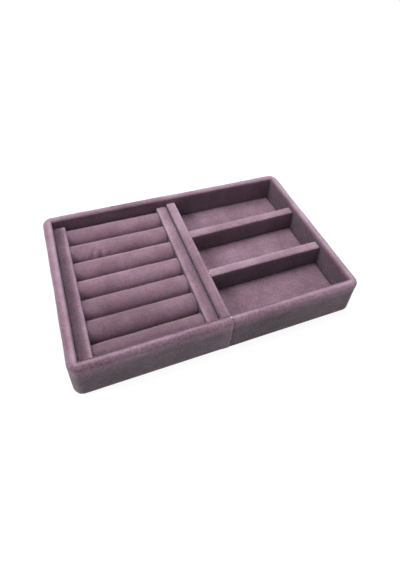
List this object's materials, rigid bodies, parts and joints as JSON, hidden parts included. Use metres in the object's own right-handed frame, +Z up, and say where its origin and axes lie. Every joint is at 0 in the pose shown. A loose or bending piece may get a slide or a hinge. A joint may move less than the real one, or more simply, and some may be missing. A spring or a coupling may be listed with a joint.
{
  "type": "jewelry tray",
  "caption": "Velvet-covered open jewelry tray with a lift-out insert of ring rolls and a row of padded rectangular compartments.",
  "frame": {"origin": "centre of the underside, on the surface that the tray rests on", "axes": "+X along the long side towards the compartments, +Y from front to back, +Z up out of the tray"},
  "size_m": [0.24, 0.16, 0.035],
  "materials": {
    "velvet": "matte",
    "foam": "matte",
    "board": "matte",
    "card": "matte",
    "underside_felt": "matte"
  },
  "bodies": {
    "tray": {"bottom_cover": "underside_felt", "base_board": "board", "front_wall_board": "board", "back_wall_board": "board", "left_wall_board": "board", "right_wall_board": "board", "wall_velvet": "velvet", "centre_divider_board": "board", "centre_divider_velvet": "velvet", "front_divider_board": "board", "front_divider_velvet": "velvet", "back_divider_board": "board", "back_divider_velvet": "velvet", "front_pad_card": "card", "front_pad_foam": "foam", "front_pad_velvet": "velvet", "middle_pad_card": "card", "middle_pad_foam": "foam", "middle_pad_velvet": "velvet", "back_pad_card": "card", "back_pad_foam": "foam", "back_pad_velvet": "velvet"},
    "ring_insert": {"insert_card": "card", "left_rail_board": "board", "left_rail_velvet": "velvet", "right_rail_board": "board", "right_rail_velvet": "velvet", "roll_1_foam": "foam", "roll_1_velvet": "velvet", "roll_2_foam": "foam", "roll_2_velvet": "velvet", "roll_3_foam": "foam", "roll_3_velvet": "velvet", "roll_4_foam": "foam", "roll_4_velvet": "velvet", "roll_5_foam": "foam", "roll_5_velvet": "velvet", "roll_6_foam": "foam", "roll_6_velvet": "velvet", "roll_7_foam": "foam", "roll_7_velvet": "velvet"}
  },
  "joints": [
    {"name": "insert_lift", "type": "slide", "parent": "tray", "child": "ring_insert", "axis": [0, 0, 1], "range_m": [0, 0.04]}
  ]
}
